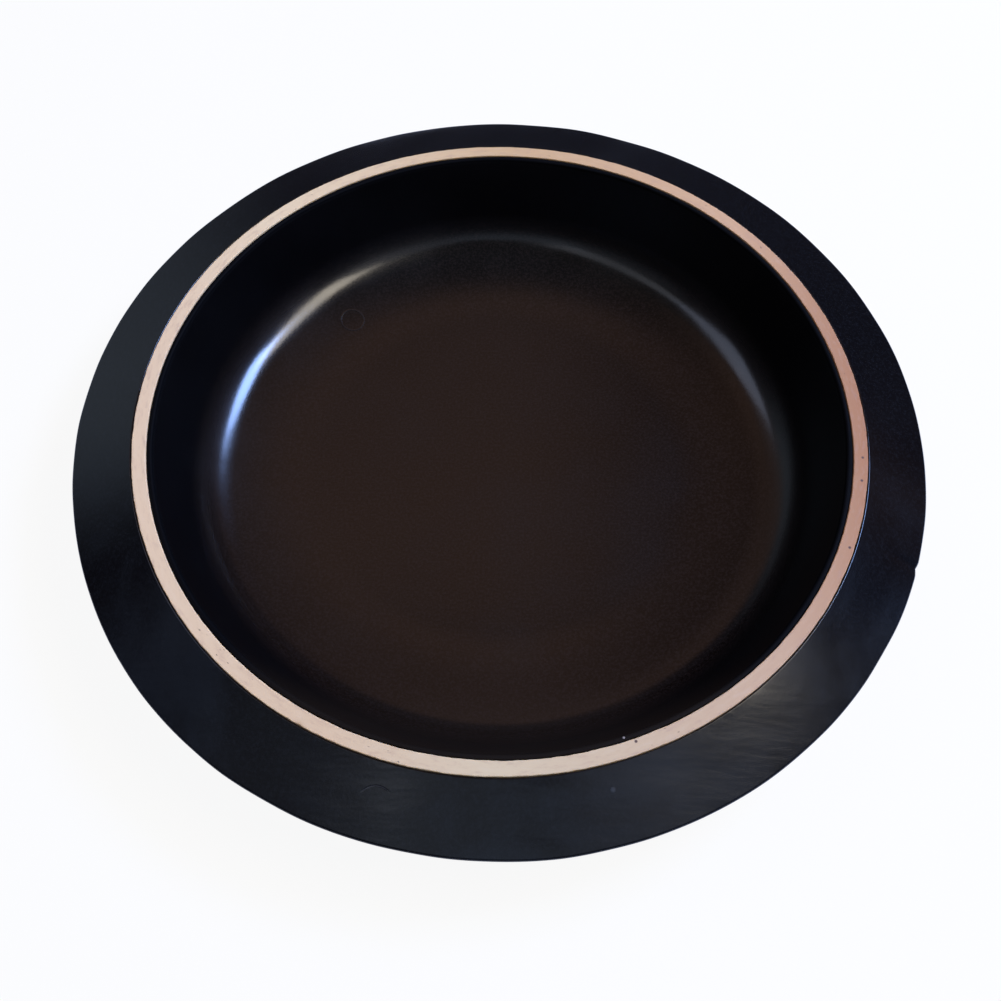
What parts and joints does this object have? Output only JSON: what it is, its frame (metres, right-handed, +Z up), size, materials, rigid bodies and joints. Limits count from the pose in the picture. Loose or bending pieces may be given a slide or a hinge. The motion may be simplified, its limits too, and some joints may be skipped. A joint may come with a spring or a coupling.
{
  "type": "gold pan",
  "caption": "Round panning dish: a deep glossy black basin, a flat pale ring let into its rim, and a wide black outer flange that slopes down and outward.",
  "frame": {"origin": "centre of the base, on the plane that the pan stands on", "axes": "+Z up along the axis of the basin; the pan is round, so +X and +Y are any two level directions"},
  "size_m": [0.356, 0.356, 0.05],
  "materials": {
    "black_glaze": "glossy black glaze, brownish over the floor",
    "pale_unglazed": "matte pinkish cream, with small dark flecks",
    "black_flange_glaze": "satin blue-black glaze, slightly blotchy"
  },
  "bodies": {
    "root": {"pan_bowl": "black_glaze", "rim_ring": "pale_unglazed", "outer_flange": "black_flange_glaze"}
  },
  "joints": []
}
